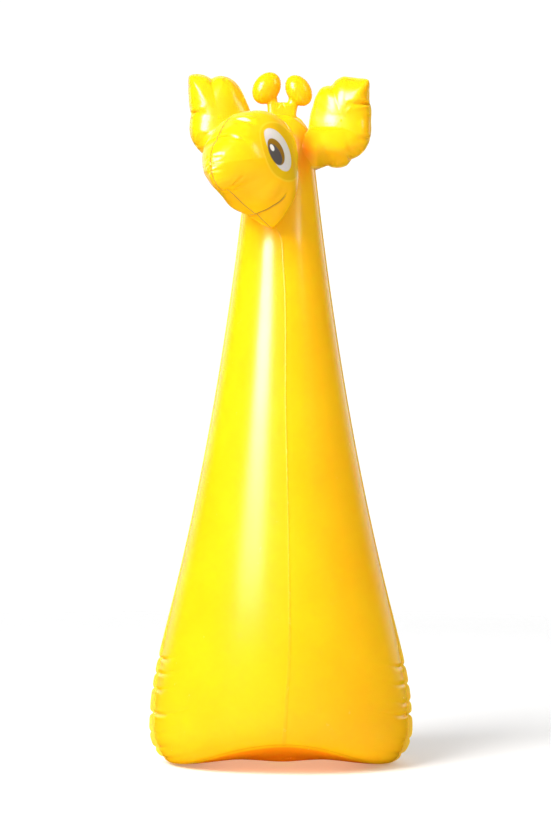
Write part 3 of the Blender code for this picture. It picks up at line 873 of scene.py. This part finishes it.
def make_valve(material):
    """The inflation valve low on the back: a welded rim, a moulded neck and a plug."""
    turn = np.linspace(0.0, 2 * pi, 96, endpoint=False)[None, :]
    profile = np.array(VALVE_PROFILE) * MM
    radius, height = profile[:, :1], profile[:, 1:]
    points = np.stack(np.broadcast_arrays(radius * np.cos(turn), radius * np.sin(turn), height), -1)
    valve = skin("giraffe_valve", points, material)
    above = np.array(VALVE_ABOVE_FLOOR)
    step = 4 * MM

    def on_body(turn, height):
        x, y = section(np.array(turn), body_half_width(height), body_half_depth(height), VALVE_SHARPNESS)
        return Vector((float(x), float(y), float(height)))

    seat = on_body(VALVE_TURN, above)
    up = on_body(VALVE_TURN, above + step) - seat
    across = (on_body(VALVE_TURN + step, above) - seat).normalized()
    out = across.cross(up).normalized()
    place = Matrix((across, out.cross(across), out)).transposed().to_4x4()
    place.translation = seat + out * 0.2 * MM
    valve.data.transform(place)
    return valve


def add_node(tree, kind, inputs=None, **settings):
    """A shader node with its settings, and its inputs set to values or linked to sockets."""
    node = tree.nodes.new("ShaderNode" + kind)
    for name, value in settings.items():
        setattr(node, name, value)
    for name, value in (inputs or {}).items():
        if isinstance(value, bpy.types.NodeSocket):
            tree.links.new(value, node.inputs[name])
        else:
            node.inputs[name].default_value = value
    return node


def calculate(tree, operation, *values):
    return add_node(tree, "Math", dict(enumerate(values)), operation=operation).outputs[0]


def mix_colour(tree, share, first, second):
    node = add_node(tree, "Mix", {0: share, 6: first, 7: second}, data_type="RGBA")
    return node.outputs[2]


def soft_step(tree, value, reach, before, after):
    """Changes softly from one value before the reach to the other after it."""
    node = add_node(tree, "MapRange", {"Value": value, "From Min": reach[0], "From Max": reach[1],
                                       "To Min": before, "To Max": after}, interpolation_type="SMOOTHSTEP")
    return node.outputs[0]


def ellipse_share(tree, place, middle, long_half, short_half, lean, soft):
    """1 inside a leaning ellipse on the cheek, 0 outside, with a soft edge of a printed dot."""
    parts = add_node(tree, "SeparateXYZ", {0: place})
    across = calculate(tree, "SUBTRACT", parts.outputs["X"], middle[0] * MM)
    up = calculate(tree, "SUBTRACT", parts.outputs["Z"], middle[1] * MM)
    lean, rise = sin(radians(lean)), cos(radians(lean))
    along = calculate(tree, "ADD", calculate(tree, "MULTIPLY", across, lean),
                      calculate(tree, "MULTIPLY", up, rise))
    aside = calculate(tree, "SUBTRACT", calculate(tree, "MULTIPLY", across, rise),
                      calculate(tree, "MULTIPLY", up, lean))
    far = calculate(tree, "POWER", calculate(tree, "DIVIDE", along, long_half * MM), 2.0)
    near = calculate(tree, "POWER", calculate(tree, "DIVIDE", aside, short_half * MM), 2.0)
    distance = calculate(tree, "SQRT", calculate(tree, "ADD", far, near))
    edge = soft / short_half
    return soft_step(tree, distance, (1.0 - edge, 1.0 + edge), 1.0, 0.0)


def eye_print(tree, place, ground):
    """The printed eye: an olive patch with a pale edge, then white, iris, pupil and glint."""
    colour = ground
    for middle, long_half, short_half, lean, soft, tint in EYE_PRINT:
        share = ellipse_share(tree, place, middle, long_half, short_half, lean, soft)
        colour = mix_colour(tree, share, colour, (*tint, 1.0))
    return colour


def vinyl(name, base, deep, roughness, seam, with_eye=False):
    """Soft glossy vinyl sheet: uneven thickness, a fine calendered grain, slow ripples and
    handling marks, and a flatter, slightly duller surface where it is welded."""
    material = bpy.data.materials.new(name)
    material.use_nodes = True
    tree = material.node_tree
    shader = tree.nodes["Principled BSDF"]
    place = add_node(tree, "TexCoord").outputs["Object"]
    cloudy = add_node(tree, "TexNoise", {"Vector": place, "Scale": CLOUDS, "Detail": 3.0}).outputs["Fac"]
    marks = add_node(tree, "TexNoise", {"Vector": place, "Scale": MARKS, "Detail": 6.0,
                                        "Roughness": 0.7}).outputs["Fac"]
    grain = add_node(tree, "TexNoise", {"Vector": place, "Scale": GRAIN, "Detail": 2.0}).outputs["Fac"]
    ripple = add_node(tree, "TexNoise", {"Vector": place, "Scale": RIPPLES, "Detail": 1.5}).outputs["Fac"]
    weld = add_node(tree, "Attribute", attribute_name="weld").outputs["Fac"]
    uneven = add_node(tree, "MapRange", {"Value": cloudy, "From Min": 0.35, "From Max": 0.65}).outputs[0]
    colour = mix_colour(tree, uneven, (*base, 1.0), (*deep, 1.0))
    flange = add_node(tree, "Attribute", attribute_name="flange").outputs["Fac"]
    colour = mix_colour(tree, calculate(tree, "MULTIPLY", weld, 0.5), colour, (*seam, 1.0))
    # Painted light: the weld margins are made paler, as with light shining through the thin sheets
    colour = mix_colour(tree, calculate(tree, "MULTIPLY", flange, 0.6), colour, (*FLANGE_PAINTED_LIGHT, 1.0))
    # Painted shade: deep orange mixed in where the gaps between neck, head and ear and the bottom panel lie
    # in shade
    hidden = add_node(tree, "Attribute", attribute_name="hidden").outputs["Fac"]
    colour = mix_colour(tree, hidden, colour, (*PAINTED_SHADE_ORANGE, 1.0))
    if with_eye:
        cheek = add_node(tree, "Attribute", attribute_name="cheek").outputs["Vector"]
        colour = eye_print(tree, cheek, colour)
    tree.links.new(colour, shader.inputs["Base Color"])
    worn = add_node(tree, "MapRange", {"Value": marks, "From Min": 0.55, "From Max": 0.8,
                                       "To Min": roughness, "To Max": roughness + ROUGHER}).outputs[0]
    rough = calculate(tree, "ADD", worn, calculate(tree, "MULTIPLY", weld, ROUGHER))
    tree.links.new(rough, shader.inputs["Roughness"])
    slow = add_node(tree, "Bump", {"Height": ripple, "Strength": 0.2, "Distance": 0.3 * MM})
    fine = add_node(tree, "Bump", {"Height": grain, "Strength": 0.05, "Distance": 0.1 * MM,
                                   "Normal": slow.outputs[0]})
    tree.links.new(fine.outputs[0], shader.inputs["Normal"])
    shader.inputs["IOR"].default_value = 1.5
    shader.inputs["Subsurface Weight"].default_value = GLOW_SHARE
    shader.inputs["Subsurface Radius"].default_value = GLOW_RADIUS
    shader.inputs["Subsurface Scale"].default_value = GLOW_SCALE
    return material


def make_floor():
    """A round white studio floor whose edge melts into the white room.  Under the part a warm
    glow is painted on it, standing in for the light that has soaked through the thin vinyl."""
    floor = bpy.data.meshes.new("studio_floor")
    shape = bmesh.new()
    bmesh.ops.create_circle(shape, cap_ends=True, segments=96, radius=FLOOR_RADIUS)
    shape.to_mesh(floor)
    shape.free()
    item = bpy.data.objects.new("studio_floor", floor)
    bpy.context.scene.collection.objects.link(item)
    material = bpy.data.materials.new("studio_white")
    material.use_nodes = True
    tree = material.node_tree
    shader = tree.nodes["Principled BSDF"]
    shader.inputs["Base Color"].default_value = (FLOOR_GREY, FLOOR_GREY, FLOOR_GREY, 1.0)
    shader.inputs["Roughness"].default_value = FLOOR_ROUGHNESS
    place = add_node(tree, "TexCoord").outputs["Object"]
    far = add_node(tree, "VectorMath", {0: place}, operation="LENGTH").outputs["Value"]
    glow = soft_step(tree, far, FLOOR_GLOW_REACH, FLOOR_GLOW_NEAR, FLOOR_GLOW_FAR)
    # Painted light: a warm glow on the floor under the part
    under = soft_step(tree, far, UNDERGLOW_REACH, UNDERGLOW, 0.0)
    both = calculate(tree, "ADD", glow, under)
    warm = calculate(tree, "DIVIDE", under, both)
    tint = mix_colour(tree, warm, (1.0, 1.0, 1.0, 1.0), (*UNDERGLOW_TINT, 1.0))
    tree.links.new(tint, shader.inputs["Emission Color"])
    tree.links.new(both, shader.inputs["Emission Strength"])
    tree.links.new(soft_step(tree, far, FLOOR_FADE, 1.0, 0.0), shader.inputs["Alpha"])
    floor.materials.append(material)
    item.visible_glossy = False
    return item


def light_world():
    """A white room: pure white where it is seen, an even soft light on what stands in it, and
    in the gloss only its bright back, so that a round shape has pale edges."""
    world = bpy.data.worlds.new("studio")
    bpy.context.scene.world = world
    world.use_nodes = True
    tree = world.node_tree
    tree.nodes.clear()
    towards = add_node(tree, "TexCoord").outputs["Generated"]
    parts = add_node(tree, "SeparateXYZ", {0: towards})
    behind = soft_step(tree, parts.outputs["Y"], ROOM_BACK, 0.0, 1.0)
    above = soft_step(tree, parts.outputs["Z"], ROOM_HORIZON, 0.0, 1.0)
    behind = calculate(tree, "MULTIPLY", behind, above)
    path = add_node(tree, "LightPath").outputs
    level = add_node(tree, "Mix", {0: path["Is Glossy Ray"], 2: ROOM_LIGHT, 3: behind}).outputs[0]
    level = add_node(tree, "Mix", {0: path["Is Camera Ray"], 2: level, 3: ROOM_SEEN}).outputs[0]
    background = add_node(tree, "Background", {"Color": (1.0, 1.0, 1.0, 1.0), "Strength": level})
    output = add_node(tree, "OutputWorld")
    tree.links.new(background.outputs[0], output.inputs["Surface"])


def soft_box(name, place, aim, size, watts, lights):
    light = bpy.data.lights.new(name, "AREA")
    light.shape = "RECTANGLE"
    light.size, light.size_y = size
    light.energy = watts
    lamp = bpy.data.objects.new(name, light)
    lamp.location = place
    lamp.rotation_euler = (Vector(aim) - Vector(place)).to_track_quat("-Z", "Y").to_euler()
    lamp.visible_glossy = lights != "colour"
    lamp.visible_diffuse = lights != "gloss"
    bpy.context.scene.collection.objects.link(lamp)


def make_lights():
    light_world()
    for box in SOFT_BOXES:
        soft_box(*box)


def make_camera():
    lens = bpy.data.cameras.new("camera")
    lens.sensor_width = SENSOR
    lens.lens = SENSOR * -CAMERA_PLACE[1] / IMAGE_HEIGHT_AT_OBJECT
    camera = bpy.data.objects.new("camera", lens)
    camera.location = CAMERA_PLACE
    camera.rotation_euler = (radians(90), 0.0, 0.0)
    bpy.context.scene.collection.objects.link(camera)
    bpy.context.scene.camera = camera


def place_piece(piece, node):
    """Let a piece move with the part and stand for its node, whose own part is hidden."""
    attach(piece, "root")
    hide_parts(node)


def build():
    scene = bpy.context.scene
    scene.view_settings.view_transform = "Standard"
    yellow = vinyl("yellow_vinyl_sheet", VINYL, VINYL_DEEP, SHEET_ROUGHNESS, SEAM_TINT)
    printed = vinyl("printed_vinyl_sheet", VINYL, VINYL_DEEP, SHEET_ROUGHNESS, HEAD_SEAM_TINT, with_eye=True)
    natural = vinyl("valve_vinyl_moulded", VALVE_VINYL, VALVE_VINYL_DEEP, VALVE_ROUGHNESS, SEAM_TINT)
    place_piece(make_body(yellow), "body")
    place_piece(make_head(printed), "head")
    left_ear = make_ear("giraffe_ear_left", LEFT_EAR_PLACE, LEFT_EAR_OUTLINE, LEFT_EAR_FOLDS, LEFT_EAR_SLANT,
                        LEFT_EAR_ROOT, yellow)
    place_piece(left_ear, "ear_left")
    right_ear = make_ear("giraffe_ear_right", RIGHT_EAR_PLACE, RIGHT_EAR_OUTLINE, RIGHT_EAR_FOLDS,
                         RIGHT_EAR_SLANT, RIGHT_EAR_ROOT, yellow)
    place_piece(right_ear, "ear_right")
    place_piece(make_horns(yellow), "horns")
    place_piece(make_valve(natural), "valve")
    make_floor()
    make_lights()
    make_camera()


build()
